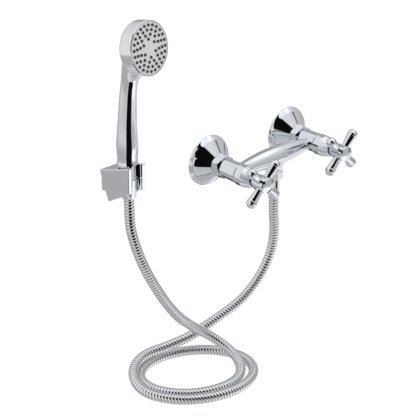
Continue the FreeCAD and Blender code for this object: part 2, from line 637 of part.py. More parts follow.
def smooth_route(points):
    """Straight runs joined by tangent arcs, each arc as large as its two runs allow."""
    points = [Vector(*point) for point in points]
    pieces = []
    radii = []
    here = points[0]
    for before, corner, after in zip(points, points[1:], points[2:]):
        arriving = corner - before
        leaving = after - corner
        turn = arriving.getAngle(leaving)
        reach = ROUTE_ARC_SHARE * min(arriving.Length, leaving.Length)
        radius = reach / math.tan(turn / 2)
        radii.append(radius)
        arriving.normalize()
        leaving.normalize()
        start = corner - arriving * reach
        axis = arriving.cross(leaving).normalize()
        centre = start + axis.cross(arriving) * radius
        pieces.append({"start": here, "way": arriving, "length": (start - here).Length})
        pieces.append({"start": start, "way": arriving, "length": radius * turn, "centre": centre,
                       "axis": axis, "radius": radius})
        here = corner + leaving * reach
    last = points[-1] - here
    length = last.Length
    pieces.append({"start": here, "way": last.normalize(), "length": length})
    return pieces, radii


def station(pieces, distance):
    """Place and direction at a distance along the route."""
    for piece in pieces:
        if distance <= piece["length"] or piece is pieces[-1]:
            break
        distance -= piece["length"]
    if "centre" not in piece:
        return piece["start"] + piece["way"] * distance, piece["way"]
    spin = FreeCAD.Rotation(piece["axis"], math.degrees(distance / piece["radius"]))
    return piece["centre"] + spin.multVec(piece["start"] - piece["centre"]), spin.multVec(piece["way"])


def circles_along(pieces, stops):
    """Circles square to the route, their X axes carried along without twist."""
    wires = []
    steady = None
    for distance, radius in stops:
        place, way = station(pieces, distance)
        guess = steady if steady else (SIDE if abs(way.dot(SIDE)) < 0.9 else UP)
        steady = (guess - way * guess.dot(way)).normalize()
        circle = Part.Circle(place, way, radius)
        circle.XAxis = steady
        wires.append(Part.Wire(circle.toShape()))
    return wires


def ribbed_hose(name, points):
    """Ribbed tube with its bore: ruled loft through four circles for each rib."""
    pieces, radii = smooth_route(points)
    length = sum(piece["length"] for piece in pieces)
    ribs = round(length / HOSE_RIB_PITCH)
    pitch = length / ribs
    stops = []
    for rib in range(ribs):
        for share, radius in ((0, HOSE_VALLEY_R), (RIB_CREST[0], HOSE_R), (RIB_CREST[1], HOSE_R),
                              (RIB_GROOVE_START, HOSE_VALLEY_R)):
            stops.append(((rib + share) * pitch, radius))
    stops.append((length, HOSE_VALLEY_R))
    outer = Part.makeLoft(circles_along(pieces, stops), False, True)
    bore_stops = [(pitch * half / 2, HOSE_BORE_R) for half in range(2 * ribs)] + [(length, HOSE_BORE_R)]
    inner = Part.makeLoft(circles_along(pieces, bore_stops), False, True)
    faces = outer.Faces + inner.Faces
    for distance in (0, length):
        rim = circles_along(pieces, [(distance, HOSE_VALLEY_R)])[0]
        hole = circles_along(pieces, [(distance, HOSE_BORE_R)])[0]
        faces.append(Part.Face(Part.Plane(*station(pieces, distance)), rim).cut(
            Part.Face(Part.Plane(*station(pieces, distance)), hole)).Faces[0])
    shell = Part.makeShell(faces)
    shell.sewShape()
    solid = Part.makeSolid(shell)
    if solid.Volume < 0:
        solid.reverse()
    report_hose(name, pieces, radii, length, ribs, solid)
    return solid


def report_hose(name, pieces, radii, length, ribs, solid):
    """Prints the radii, the ribs, and the volume against that of the section swept along."""
    crest = (RIB_GROOVE_START + RIB_CREST[1] - RIB_CREST[0]) / 2
    section = math.pi * (crest * HOSE_R ** 2 + (1 - crest) * HOSE_VALLEY_R ** 2 - HOSE_BORE_R ** 2)
    print(name, "length", round(length, 1), "ribs", ribs, "valid", solid.isValid(),
          "volume share", round(solid.Volume / (section * length), 3))
    print("  bend radii", [round(radius) for radius in radii])


def least_gap(routes):
    """Least clear distance between parts of the hose that are far apart along it."""
    places = []
    travelled = 0
    for points in routes:
        pieces, _ = smooth_route(points)
        length = sum(piece["length"] for piece in pieces)
        steps = int(length / 2)
        for step in range(steps):
            places.append((travelled + length * step / steps, station(pieces, length * step / steps)[0]))
        travelled += length
    near = min((a - b).Length for i, (s, a) in enumerate(places) for t, b in places[i + 20:]
               if t - s > 60)
    return near - 2 * HOSE_R


def shower_axis(z):
    return Vector(SHOWER_X, -SHOWER_OUT, z)


def cone_nut():
    """Conical hose nut that sits in the holder and turns under the hand shower."""
    thread_bottom = CONE_TOP - CONE_THREAD_DEPTH
    washer_bottom = thread_bottom - WASHER_T
    flange_bottom = washer_bottom - TAIL_FLANGE_T
    bore = CONE_THREAD_R
    return turned([(CONE_BOTTOM, TAIL_SLEEVE_R + FIT_GAP), (CONE_BOTTOM, CONE_BOTTOM_R - CONE_BOTTOM_BEVEL),
                   (CONE_BOTTOM + CONE_BOTTOM_BEVEL, CONE_BOTTOM_R), (CONE_TOP - CONE_TOP_BEVEL, CONE_TOP_R),
                   (CONE_TOP, CONE_TOP_R - CONE_TOP_BEVEL), (CONE_TOP, bore), (flange_bottom, bore),
                   (flange_bottom, TAIL_SLEEVE_R + FIT_GAP)], shower_axis(0), UP, SIDE)


def connector():
    """Threaded inlet of the hand shower: male thread in the nut, smooth collar above it."""
    thread_r = CONE_THREAD_R - RUNNING_GAP
    thread_bottom = CONE_TOP - CONE_THREAD_DEPTH
    collar_bottom = CONE_TOP + LOOSE_GAP
    top = GRIP_BOTTOM + SPIGOT_LENGTH
    return turned([(thread_bottom, CONNECTOR_BORE_R), (thread_bottom, thread_r),
                   (CONE_TOP, thread_r - RUNNING_GAP), (collar_bottom, CONNECTOR_R + CONNECTOR_TAPER),
                   (GRIP_BOTTOM, CONNECTOR_R), (GRIP_BOTTOM, SPIGOT_R),
                   (top, SPIGOT_R), (top, CONNECTOR_BORE_R)], shower_axis(0), UP, SIDE)


def head_frame():
    """Centre of the face, its outward normal and two directions across it."""
    turn = math.radians(HEAD_TURN_DEG)
    tilt = math.radians(HEAD_TILT_DEG)
    normal = Vector(math.sin(turn) * math.cos(tilt), -math.cos(turn) * math.cos(tilt), math.sin(tilt))
    centre = shower_axis(HEAD_HEIGHT) + normal * HEAD_REACH
    across = normal.cross(UP).normalize()
    return centre, normal, across


def grip_loft(shrink):
    """Loft through the grip's round sections, which lean and tip forward towards the head."""
    _, normal, across = head_frame()
    forward = Vector(normal.x, normal.y, 0).normalize()
    wires = []
    for share, radius, lean, tip in GRIP_SECTIONS:
        height = GRIP_BOTTOM + share * (HEAD_HEIGHT - GRIP_BOTTOM)
        way = UP * math.cos(math.radians(tip)) + forward * math.sin(math.radians(tip))
        circle = Part.Circle(shower_axis(height) + forward * lean, way, radius - shrink)
        circle.XAxis = across
        wires.append(Part.Wire(circle.toShape()))
    return Part.makeLoft(wires, True, False)


def shower_shell():
    """Grip and head in one hollow shell, open at the face."""
    centre, normal, across = head_frame()
    back = HEAD_DEPTH
    back_r = HEAD_R - HEAD_BACK_STEP
    bulge = back + HEAD_BULGE
    drum = turned([(BEZEL_T, 0), (BEZEL_T, HEAD_R), (back - HEAD_ROUND_START, HEAD_R),
                   (back - HEAD_ROUND_MIDDLE[0], HEAD_R - HEAD_ROUND_MIDDLE[1], back, back_r), (bulge, 0)],
                  centre, normal * -1, across)
    cavity = turned([(BEZEL_T, 0), (BEZEL_T, HEAD_R - HEAD_WALL),
                     (back - HEAD_ROUND_START - LOOSE_GAP, HEAD_R - HEAD_WALL),
                     (back - HEAD_WALL, back_r - HEAD_WALL), (bulge - HEAD_WALL, 0)],
                    centre, normal * -1, across)
    solid = grip_loft(0).fuse(drum)
    front = Part.makeCylinder(2 * HEAD_R, HEAD_REACH, centre - normal * BEZEL_T, normal)
    solid = solid.cut(front)
    waterway = grip_loft(GRIP_WALL + WATERWAY_LINING)
    socket = cylinder(SPIGOT_R + FIT_GAP, shower_axis(GRIP_BOTTOM), UP, SPIGOT_LENGTH + FIT_GAP)
    return clean(solid.cut(waterway.fuse([cavity, socket])))


def bezel():
    """Bright ring round the face."""
    centre, normal, across = head_frame()
    inner = HEAD_R - BEZEL_WIDTH
    return turned([(BEZEL_BEVEL, HEAD_R), (BEZEL_T, HEAD_R), (BEZEL_T, inner), (0, inner),
                   (0, HEAD_R - BEZEL_BEVEL)],
                  centre, normal * -1, across)


def nozzle_places():
    """Centres of the nozzles, ring by ring, in the plane of the bezel's front."""
    centre, normal, across = head_frame()
    upward = across.cross(normal)
    for count, share in zip(NOZZLE_RING_COUNTS, NOZZLE_RING_SHARES):
        radius = HEAD_R * share
        for k in range(count):
            angle = 2 * math.pi * (k + 0.5) / count
            yield centre + across * (radius * math.cos(angle)) + upward * (radius * math.sin(angle))


def face_plate():
    """Round plate with one hole for each nozzle."""
    centre, normal, _ = head_frame()
    plate_r = HEAD_R - BEZEL_WIDTH - FIT_GAP
    back = FACE_RECESS + FACE_T
    blank = Part.makeCylinder(plate_r, FACE_T, centre - normal * back, normal)
    holes = [Part.makeCylinder(NOZZLE_R + NOZZLE_CLEARANCE, FACE_T, place - normal * back, normal)
             for place in nozzle_places()]
    return blank.cut(holes)


def nozzle_mat():
    """Rubber mat behind the plate, with a nozzle standing through each hole."""
    centre, normal, _ = head_frame()
    mat_r = HEAD_R - BEZEL_WIDTH - MAT_MARGIN
    back = FACE_RECESS + FACE_T
    mat = Part.makeCylinder(mat_r, MAT_T, centre - normal * (back + MAT_T), normal)
    root = back + NOZZLE_ROOT
    nozzles = [Part.makeCylinder(NOZZLE_R, root + NOZZLE_STAND, place - normal * root, normal)
               for place in nozzle_places()]
    return clean(mat.fuse(nozzles))


def spreader():
    """Stiff disc behind the mat, with a small hole that feeds each nozzle."""
    centre, normal, _ = head_frame()
    back = FACE_RECESS + FACE_T + MAT_T + SPREADER_T
    disc_r = HEAD_R - HEAD_WALL - LOOSE_GAP
    blank = Part.makeCylinder(disc_r, SPREADER_T, centre - normal * back, normal)
    feeds = [Part.makeCylinder(FEED_R, SPREADER_T, place - normal * back, normal)
             for place in nozzle_places()]
    return blank.cut(feeds)


def face_seal():
    """O-ring behind the spreader's rim."""
    centre, normal, _ = head_frame()
    depth = FACE_RECESS + FACE_T + MAT_T + SPREADER_T + FACE_SEAL_R
    return ring(centre - normal * depth, normal, HEAD_R - HEAD_WALL - LOOSE_GAP - FACE_SEAL_R, FACE_SEAL_R)


def pivot_centre():
    return Vector(SHOWER_X, -PIVOT_OUT, PIVOT_Z)


def holder_base():
    """Wall plate with round ends, two sunk screw holes and the tongue that carries the pivot."""
    half = BASE_HEIGHT / 2 - BASE_HALF
    plate = Part.makeBox(2 * BASE_HALF, BASE_T, 2 * half,
                         Vector(SHOWER_X - BASE_HALF, -BASE_T, PIVOT_Z - half))
    ends = [cylinder(BASE_HALF, Vector(SHOWER_X, 0, PIVOT_Z + side * half), OUT, BASE_T)
            for side in (-1, 1)]
    tongue = Part.makeBox(2 * TONGUE_HALF, PIVOT_OUT - BASE_T / 2, 2 * TONGUE_R,
                          Vector(SHOWER_X - TONGUE_HALF, -PIVOT_OUT, PIVOT_Z - TONGUE_R))
    eye = cylinder(TONGUE_R, pivot_centre() - SIDE * TONGUE_HALF, SIDE, 2 * TONGUE_HALF)
    solid = plate.fuse(ends + [tongue, eye])
    cuts = [cylinder(PIVOT_PIN_R + RUNNING_GAP, pivot_centre() - SIDE * TONGUE_HALF, SIDE, 2 * TONGUE_HALF)]
    for side in (-1, 1):
        place = Vector(SHOWER_X, 0, PIVOT_Z + side * WALL_HOLE_SPACING / 2)
        cuts.append(cylinder(WALL_HOLE_R, place, OUT, BASE_T))
        cuts.append(Part.makeCone(WALL_HOLE_R, WALL_HOLE_SINK_R, WALL_HOLE_SINK,
                                  place + OUT * (BASE_T - WALL_HOLE_SINK), OUT))
    return clean(solid.cut(cuts))


def holder():
    """Tilting holder: flat cheeks, conical socket with its front slot, and the pivot cavity."""
    outline = [HOLDER_BACK_TOP, HOLDER_FRONT_TOP, HOLDER_FRONT_BOTTOM, HOLDER_BACK_BOTTOM]
    block = prism(outline, SHOWER_X - HOLDER_HALF, SHOWER_X + HOLDER_HALF)
    block = block.makeFillet(HOLDER_EDGE_R, block.Edges)
    gap = HOLDER_SOCKET_GAP
    front, top = HOLDER_FRONT_TOP
    socket = turned([(0, 0), (0, CONE_BOTTOM_R + gap), (CONE_BOTTOM, CONE_BOTTOM_R + gap),
                     (CONE_TOP, CONE_TOP_R + gap), (2 * top, CONE_TOP_R + gap), (2 * top, 0)],
                    shower_axis(0), UP, SIDE)
    slot = Part.makeBox(2 * HOLDER_SLOT_HALF, front, 2 * top,
                        Vector(SHOWER_X - HOLDER_SLOT_HALF, -SHOWER_OUT - front, 0))
    back, back_top = HOLDER_BACK_TOP
    rise = (top - back_top) / (front - back)
    ceiling = back_top - HOLDER_TOP_SKIN - rise * back
    cavity = prism([(0, ceiling), (HOLDER_CAVITY_OUT, ceiling + rise * HOLDER_CAVITY_OUT),
                    (HOLDER_CAVITY_OUT, 0), (0, 0)],
                   SHOWER_X - HOLDER_CAVITY_HALF, SHOWER_X + HOLDER_CAVITY_HALF)
    blind = SHOWER_X - HOLDER_HALF + PIVOT_PIN_BLIND
    pin_hole = cylinder(PIVOT_PIN_R + FIT_GAP, Vector(blind, -PIVOT_OUT, PIVOT_Z), SIDE, 2 * HOLDER_HALF)
    head_hole = cylinder(PIN_HEAD_R + FIT_GAP, Vector(SHOWER_X + HOLDER_HALF - PIN_HEAD_T - LOOSE_GAP,
                                                      -PIVOT_OUT, PIVOT_Z), SIDE, 2 * PIN_HEAD_T)
    return clean(block.cut(socket.fuse([slot, cavity, pin_hole, head_hole])))


def pivot_pin():
    """Pin with a hexagon socket in its head; its tip ends inside the other cheek."""
    start = SHOWER_X - HOLDER_HALF + PIVOT_PIN_BLIND + LOOSE_GAP
    head_start = SHOWER_X + HOLDER_HALF - PIN_HEAD_T - LOOSE_GAP
    shank = cylinder(PIVOT_PIN_R, Vector(start, -PIVOT_OUT, PIVOT_Z), SIDE, head_start - start)
    head = cylinder(PIN_HEAD_R, Vector(head_start, -PIVOT_OUT, PIVOT_Z), SIDE, PIN_HEAD_T)
    socket = hexagon(PIN_SOCKET_FLATS, Vector(head_start + PIN_SOCKET_FLOOR, -PIVOT_OUT, PIVOT_Z), SIDE,
                     PIN_HEAD_T)
    return clean(shank.fuse(head).cut(socket))


def friction_washers():
    """Thin washers that grip the tongue between the cheeks."""
    washers = []
    inner = PIVOT_PIN_R + FIT_GAP
    room = HOLDER_CAVITY_HALF - TONGUE_HALF - FRICTION_WASHER_T
    for side in (-1, 1):
        start = TONGUE_HALF + room / 2
        low = side * start if side > 0 else side * (start + FRICTION_WASHER_T)
        body = cylinder(TONGUE_R - FRICTION_WASHER_MARGIN, pivot_centre() + SIDE * low, SIDE,
                        FRICTION_WASHER_T)
        washers.append(body.cut(cylinder(inner, pivot_centre() + SIDE * low, SIDE, FRICTION_WASHER_T)))
    return Part.makeCompound(washers)


def build():
    nodes = {}
    for name, x in SIDES.items():
        nodes[name + "_union"] = union(x)
        nodes[name + "_rose"] = rose(x)
        nodes[name + "_union_nut"] = union_nut(x)
        nodes[name + "_union_washer"] = union_washer(x)
        nodes[name + "_seat_seal"] = seat_seal(x)
        nodes[name + "_headwork"] = headwork_body(x)
        nodes[name + "_fixed_disc"] = disc(x, SEAT_OUT + SEAL_T, 0)
        nodes[name + "_moving_disc"] = moving_disc(x)
        nodes[name + "_headwork_seal"] = headwork_seal(x)
        nodes[name + "_spindle"] = spindle(x)
        nodes[name + "_bonnet"] = bonnet(x)
        nodes[name + "_handle"] = handle(x)
        nodes[name + "_handle_screw"] = handle_screw(x)
        nodes[name + "_handle_cap"] = handle_cap(x)
    nodes["mixer_body"] = mixer_body()
    outlet = Vector(0, -BAR_OUT, 0)
    nodes["hose_nut"] = hose_nut()
    nodes["hose_washer"] = flat_washer(outlet, OUTLET_THREAD_END - WASHER_T, TAIL_R, BARB_BORE_R + 2,
                                       WASHER_T)
    nodes["hose_tail"] = hose_tail(outlet, OUTLET_THREAD_END - WASHER_T - TAIL_FLANGE_T, HOSE_NUT_BOTTOM,
                                   HOSE_START_DOWN - BARB_REACH)
    nodes["hose_ferrule"] = ferrule()
    loops = [loop_point(LOOP_START_DEG + LOOP_STEP_DEG * k) for k in range(LOOP_POINTS)]
    coil_route = HOSE_LEAD_IN + loops + HOSE_LEAD_OUT
    nodes["hose_drop"] = ribbed_hose("hose_drop", HOSE_DROP)
    nodes["hose_coil"] = ribbed_hose("hose_coil", coil_route)
    nodes["hose_rise"] = ribbed_hose("hose_rise", HOSE_RISE)
    print("least gap of the hose to itself", round(least_gap([HOSE_DROP, coil_route, HOSE_RISE]), 2))
    thread_bottom = CONE_TOP - CONE_THREAD_DEPTH
    nodes["cone_nut"] = cone_nut()
    nodes["shower_washer"] = flat_washer(shower_axis(0), thread_bottom - WASHER_T, TAIL_R, BARB_BORE_R + 2,
                                         WASHER_T)
    nodes["shower_tail"] = hose_tail(shower_axis(0), thread_bottom - WASHER_T - TAIL_FLANGE_T, CONE_BOTTOM,
                                     CONE_BOTTOM - BARB_REACH)
    nodes["shower_connector"] = connector()
    nodes["shower_shell"] = shower_shell()
    nodes["shower_bezel"] = bezel()
    nodes["shower_face_plate"] = face_plate()
    nodes["shower_nozzle_mat"] = nozzle_mat()
    nodes["shower_spreader"] = spreader()
    nodes["shower_face_seal"] = face_seal()
    nodes["holder"] = holder()
    nodes["holder_base"] = holder_base()
    nodes["holder_pin"] = pivot_pin()
    nodes["holder_friction_washers"] = friction_washers()
    return nodes


def main():
    os.makedirs("parts", exist_ok=True)
    for name, shape in build().items():
        if not shape.isValid():
            print("invalid", name)
        shape.exportStep("parts/" + name + ".step")
    print("written")


main()
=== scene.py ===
"""Looks of the wall shower mixer set: polished chrome, satin face, ribbed steel hose and a pale studio."""

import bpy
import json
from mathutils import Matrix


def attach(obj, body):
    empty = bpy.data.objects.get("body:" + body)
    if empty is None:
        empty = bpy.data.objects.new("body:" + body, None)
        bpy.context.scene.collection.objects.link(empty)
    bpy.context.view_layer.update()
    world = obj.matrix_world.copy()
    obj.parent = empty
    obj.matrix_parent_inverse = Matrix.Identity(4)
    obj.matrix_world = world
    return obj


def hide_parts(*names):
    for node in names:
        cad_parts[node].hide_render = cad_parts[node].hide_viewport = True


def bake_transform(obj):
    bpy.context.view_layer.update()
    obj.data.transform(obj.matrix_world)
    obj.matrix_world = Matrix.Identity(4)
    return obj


bl_info = {
    "name": "Wall shower mixer set",
    "version": (1, 0, 0),
    "blender": (4, 5, 0),
    "location": "View3D > Sidebar > Shower",
    "description": "Builds the finishes, the ribbed hose and the studio of a wall shower mixer set",
    "category": "Add Mesh",
}

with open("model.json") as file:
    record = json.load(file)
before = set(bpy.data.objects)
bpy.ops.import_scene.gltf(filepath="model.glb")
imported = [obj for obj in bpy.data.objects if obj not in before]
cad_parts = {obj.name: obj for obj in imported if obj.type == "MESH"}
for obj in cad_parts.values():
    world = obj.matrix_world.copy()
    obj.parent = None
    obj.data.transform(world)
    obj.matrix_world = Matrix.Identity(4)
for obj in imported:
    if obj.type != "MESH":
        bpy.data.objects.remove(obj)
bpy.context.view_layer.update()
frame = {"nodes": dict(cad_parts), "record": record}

import json
import math

import bpy
import numpy as np
from mathutils import Vector

MM = 0.001

# Route of the hose in millimetres: down from the mixer, in to the loops, and up to the hand shower
HOSE_DROP = [(0, -52, -58), (0, -52, -80), (3, -52, -105), (1, -51, -133), (-9, -49, -160),
             (-28, -47, -184), (-54, -44, -204), (-88, -39.5, -216)]
HOSE_LEAD_IN = [(-114, -36, -224), (-140, -32.5, -232), (-176, -23, -238), (-205, -15.8, -239.5),
                (-228, -21, -242), (-246.2, -35.8, -245), (-255.3, -55.8, -249)]
HOSE_LEAD_OUT = [(-112, -79, -240.5), (-118.5, -63, -231.5), (-131, -53.5, -220), (-148, -50.5, -206)]
HOSE_RISE = [(-166, -56, -189), (-184, -61.5, -172), (-208.5, -64.5, -140), (-226.5, -63, -108),
             (-240, -59, -78), (-249, -54, -48), (-253.5, -49, -20), (-252, -46, 2.5), (-252, -46, 22.5)]

# Loops that lie flat: an oval that winds inwards
LOOP_CENTRE = (-172.5, -77.0, -255.5)
LOOP_TURN = math.radians(-29.5)
LOOP_HALF_AXES = (92.0, 68.5)
LOOP_PITCH = (18.0, 14.4)
LOOP_WIDEST_DEG = 180.0
LOOP_START_DEG = 217.5
LOOP_STEP_DEG = 22.5
LOOP_POINTS = 24
LOOP_ENTRY_RISE = 2.5
LOOP_ENTRY_DEG = 30.0
LOOP_EXIT_DEG = 695.0
LOOP_EXIT_CLIMB = 0.25

# Hose: the length of the stretch under the hand shower, in metres
HOSE_TOP_LENGTH = 0.09

# Ribs of the hose: power of the rounded profile, the share of a rib's height, from the groove up,
# that painted shade darkens, and the near-black colour of that painted shade
RIB_POWER = 2.4
GROOVE_SHADE_SHARE = 0.95
GROOVE_SHADE_COLOUR = (0.03, 0.03, 0.033, 1)

# Sampling of the hose's line: points per stretch of spline, half step of its directions in metres,
# spacing and least number of the points of its path, and least number of rings in a stretch
SPLINE_POINTS = 24
WAY_STEP = 0.0015
PATH_STEP = 0.004
PATH_LEAST = 12
RINGS_LEAST = 8

# Noise of the finishes: clouds in the gloss, fine grain in the colour and slow swells of the plate.
# The spans are the noise levels between which gloss and colour change, and the depths are in metres.
CLOUDS = {"in_Scale": 55.0, "in_Detail": 5.0, "in_Roughness": 0.6}
GRAIN = {"in_Detail": 3.0, "in_Roughness": 0.55}
SWELLS = {"in_Scale": 38.0, "in_Detail": 1.0}
CLOUD_SPAN = (0.3, 0.7)
GRAIN_SPAN = (0.25, 0.75)
GRAIN_DEPTH = 0.0002
SWELL_DEPTH = 0.0008

# Colours of the pieces inside
BRASS_TINT = (0.72, 0.53, 0.26, 1)
STEEL_TINT = (0.60, 0.60, 0.62, 1)
CERAMIC_TINT = (0.86, 0.86, 0.83, 1)
FIBRE_TINT = (0.30, 0.07, 0.04, 1)
WHITE_TINT = (0.80, 0.80, 0.78, 1)
GREY_TINT = (0.33, 0.34, 0.35, 1)

# Plated plastic is a little less smooth than plated brass
PLASTIC_ROUGHNESS_SHARE = 1.15

# The wall unions are plated like the nuts that turn on them
PLATED_UNIONS = ("hot_union", "cold_union")

# Camera: width of the sensor in millimetres and how far it sees in metres
SENSOR_WIDTH = 36.0
SEEN_DEPTH = 50

# Light of the world on the pieces, and the floor: half its side in metres, its paint and glow
# as the camera sees it, and its paint as the pieces are lit by it
WORLD_LIGHT = 0.62
FLOOR_HALF = 3.0
FLOOR_PAINT = 0.16
FLOOR_GLOW = 0.9
FLOOR_BOUNCE = 0.8

# Middle of the set, at which the tent stands and the lamps aim
STUDIO_MIDDLE = (-0.1, -0.05, 0.0)

# Lamps: name, place, side of the square in metres and power in watts
LAMPS = [("key_lamp", (-1.6, -1.6, 2.0), 1.6, 34.0),
         ("fill_lamp", (1.8, -1.4, 1.2), 1.6, 14.0)]

# Tent: radius in metres, rings from pole to pole and sides
TENT_RADIUS = 4.0
TENT_RINGS = 24
TENT_SIDES = 48

# Tones of the tent's cloth from straight down to straight up, and its panels: azimuth of the middle
# at the horizon, half width, softness of the edges, lowest and highest elevation there in degrees,
# tone, lean (turn of the middle per unit of height) and slope (rise of the edges per radian of turn)
TENT_TONES = [(0.0, 0.55), (0.12, 0.62), (0.28, 0.55), (0.42, 0.50), (0.55, 0.55), (0.72, 0.62),
              (0.88, 0.86), (1.0, 1.1)]
TENT_PANELS = [(95.0, 34.0, 6.0, -60.0, -20.0, 0.86, 0.0, 0.0),
               (285.0, 50.0, 8.0, -62.0, 62.0, 0.84, 0.0, 0.0),
               (43.0, 13.0, 4.0, -28.0, 60.0, 0.40, 0.0, 0.0),
               (148.0, 21.0, 2.5, -62.0, -24.0, 1.15, 0.0, 0.0),
               (117.0, 7.0, 2.0, -18.0, 32.0, 0.20, 0.0, 0.0),
               (5.0, 42.0, 2.0, -52.0, -41.0, 0.04, 0.0, 0.0),
               (295.0, 55.0, 7.0, -50.0, -17.0, 0.46, 0.0, 0.0),
               (95.0, 35.0, 3.0, 47.0, 62.0, 1.2, 0.0, 0.0),
               (200.0, 36.0, 1.5, 3.4, 58.0, 0.004, 0.4, 0.33)]

# Cards that stand near a piece and only reflections see: name, what it is seen from,
# azimuth and elevation of its middle in degrees, distance, half width, half height, tone
CARDS = [("black_card", (-0.252, -0.046, 0.10), 201.5, -25.0, 0.25, 0.128, 0.105, 0.004),
         ("nut_card", (0.0, -0.052, -0.036), 166.0, -25.0, 0.12, 0.045, 0.010, 0.04)]


# Settings of the looks, the hose and the stage

class FinishSettings(bpy.types.PropertyGroup):
    """Colours and gloss of the finishes"""
    chrome_tint: bpy.props.FloatVectorProperty(
        name="Chrome", description="Reflected colour of the chrome plate",
        subtype="COLOR", size=4, default=(0.81, 0.835, 0.88, 1), min=0, max=1)
    plastic_tint: bpy.props.FloatVectorProperty(
        name="Plated plastic", description="Reflected colour of the plated plastic",
        subtype="COLOR", size=4, default=(0.83, 0.845, 0.88, 1), min=0, max=1)
    chrome_roughness: bpy.props.FloatProperty(
        name="Chrome roughness", description="Softness of the chrome's reflections",
        default=0.045, min=0, max=1, subtype="FACTOR")
    hose_tint: bpy.props.FloatVectorProperty(
        name="Hose steel", description="Reflected colour of the hose's steel strip",
        subtype="COLOR", size=4, default=(0.88, 0.895, 0.92, 1), min=0, max=1)
    hose_roughness: bpy.props.FloatProperty(
        name="Hose roughness", description="Softness of the hose's reflections",
        default=0.08, min=0, max=1, subtype="FACTOR")
    satin_tint: bpy.props.FloatVectorProperty(
        name="Face plate", description="Colour of the satin face plate",
        subtype="COLOR", size=4, default=(0.77, 0.78, 0.79, 1), min=0, max=1)
    rubber_tint: bpy.props.FloatVectorProperty(
        name="Rubber", description="Colour of the nozzles and seals",
        subtype="COLOR", size=4, default=(0.045, 0.045, 0.048, 1), min=0, max=1)


class HoseSettings(bpy.types.PropertyGroup):
    """Sizes of the hose's ribs"""
    crest_radius: bpy.props.FloatProperty(
        name="Crest radius", description="Radius over the ribs",
        default=0.00675, min=0.002, max=0.02, unit="LENGTH")
    groove_radius: bpy.props.FloatProperty(
        name="Groove radius", description="Radius between the ribs",
        default=0.0059, min=0.002, max=0.02, unit="LENGTH")
    rib_pitch: bpy.props.FloatProperty(
        name="Rib pitch", description="Distance from rib to rib",
        default=0.0042, min=0.001, max=0.02, unit="LENGTH")
    rings_per_rib: bpy.props.IntProperty(
        name="Rings per rib", description="Rings of points that shape one rib",
        default=8, min=4, max=16)
    sides: bpy.props.IntProperty(
        name="Sides", description="Points round the hose",
        default=24, min=8, max=64)


class StageSettings(bpy.types.PropertyGroup):
    """Places of the floor and the camera"""
    floor_height: bpy.props.FloatProperty(
        name="Floor height", description="Height of the floor under the loops",
        default=-0.2624, unit="LENGTH")
    camera_place: bpy.props.FloatVectorProperty(
        name="Camera place", description="Where the camera stands",
        subtype="TRANSLATION", unit="LENGTH", default=(-1.24936, -1.27114, 0.77356))
    camera_azimuth: bpy.props.FloatProperty(
        name="Camera azimuth", description="Turn of the view about the vertical",
        default=math.radians(-42.82), subtype="ANGLE")
    camera_elevation: bpy.props.FloatProperty(
        name="Camera elevation", description="Height of the view",
        default=math.radians(26.0), subtype="ANGLE")
    lens: bpy.props.FloatProperty(
        name="Lens", description="Focal length on a 36 mm sensor, in millimetres",
        default=120.0, min=10, max=400)


# Helpers for shader nodes and materials

class Shader:
    """Small helper that adds and links shader nodes."""

    def __init__(self, tree):
        self.tree = tree
        tree.nodes.clear()

    def add(self, kind, **settings):
        node = self.tree.nodes.new(kind)
        for key, value in settings.items():
            if key.startswith("in_"):
                node.inputs[key[3:].replace("_", " ")].default_value = value
            else:
                setattr(node, key, value)
        return node

    def link(self, source, target):
        self.tree.links.new(source, target)


def ramp_stops(node, stops):
    """Sets a colour ramp to (position, grey or colour) stops."""
    elements = node.color_ramp.elements
    while len(elements) > 1:
        elements.remove(elements[-1])
    for i, (place, value) in enumerate(stops):
        element = elements[0] if i == 0 else elements.new(place)
        element.position = place
        element.color = (value, value, value, 1) if isinstance(value, (int, float)) else (*value, 1)


def surface(name, tint, metallic, roughness, spread=0.3, grain=400.0, grain_bump=0.02, wave=0.0,
            mottle=0.04, coat=0.0, specular=0.5):
    """Material whose colour and gloss vary with fine noise, on a surface with grain and slow swells."""
    material = bpy.data.materials.new(name)
    material.use_nodes = True
    s = Shader(material.node_tree)
    out = s.add("ShaderNodeOutputMaterial")
    body = s.add("ShaderNodeBsdfPrincipled", in_Metallic=metallic)
    body.inputs["Coat Weight"].default_value = coat
    body.inputs["Specular IOR Level"].default_value = specular
    s.link(body.outputs[0], out.inputs[0])
    place = s.add("ShaderNodeTexCoord")
    cloud = s.add("ShaderNodeTexNoise", **CLOUDS)
    s.link(place.outputs["Object"], cloud.inputs["Vector"])
    rough = s.add("ShaderNodeValToRGB")
    ramp_stops(rough, zip(CLOUD_SPAN, (roughness * (1 - spread), roughness * (1 + spread))))
    s.link(cloud.outputs[0], rough.inputs[0])
    s.link(rough.outputs[0], body.inputs["Roughness"])
    fine = s.add("ShaderNodeTexNoise", in_Scale=grain, **GRAIN)
    s.link(place.outputs["Object"], fine.inputs["Vector"])
    shade = s.add("ShaderNodeValToRGB")
    ramp_stops(shade, zip(GRAIN_SPAN, (tuple(c * (1 - mottle) for c in tint[:3]), tuple(tint[:3]))))
    s.link(fine.outputs[0], shade.inputs[0])
    s.link(shade.outputs[0], body.inputs["Base Color"])
    bump = s.add("ShaderNodeBump", in_Strength=grain_bump, in_Distance=GRAIN_DEPTH)
    s.link(fine.outputs[0], bump.inputs["Height"])
    if wave:
        swell = s.add("ShaderNodeTexNoise", **SWELLS)
        s.link(place.outputs["Object"], swell.inputs["Vector"])
        wide = s.add("ShaderNodeBump", in_Strength=wave, in_Distance=SWELL_DEPTH)
        s.link(swell.outputs[0], wide.inputs["Height"])
        s.link(wide.outputs[0], bump.inputs["Normal"])
    s.link(bump.outputs[0], body.inputs["Normal"])
    return material


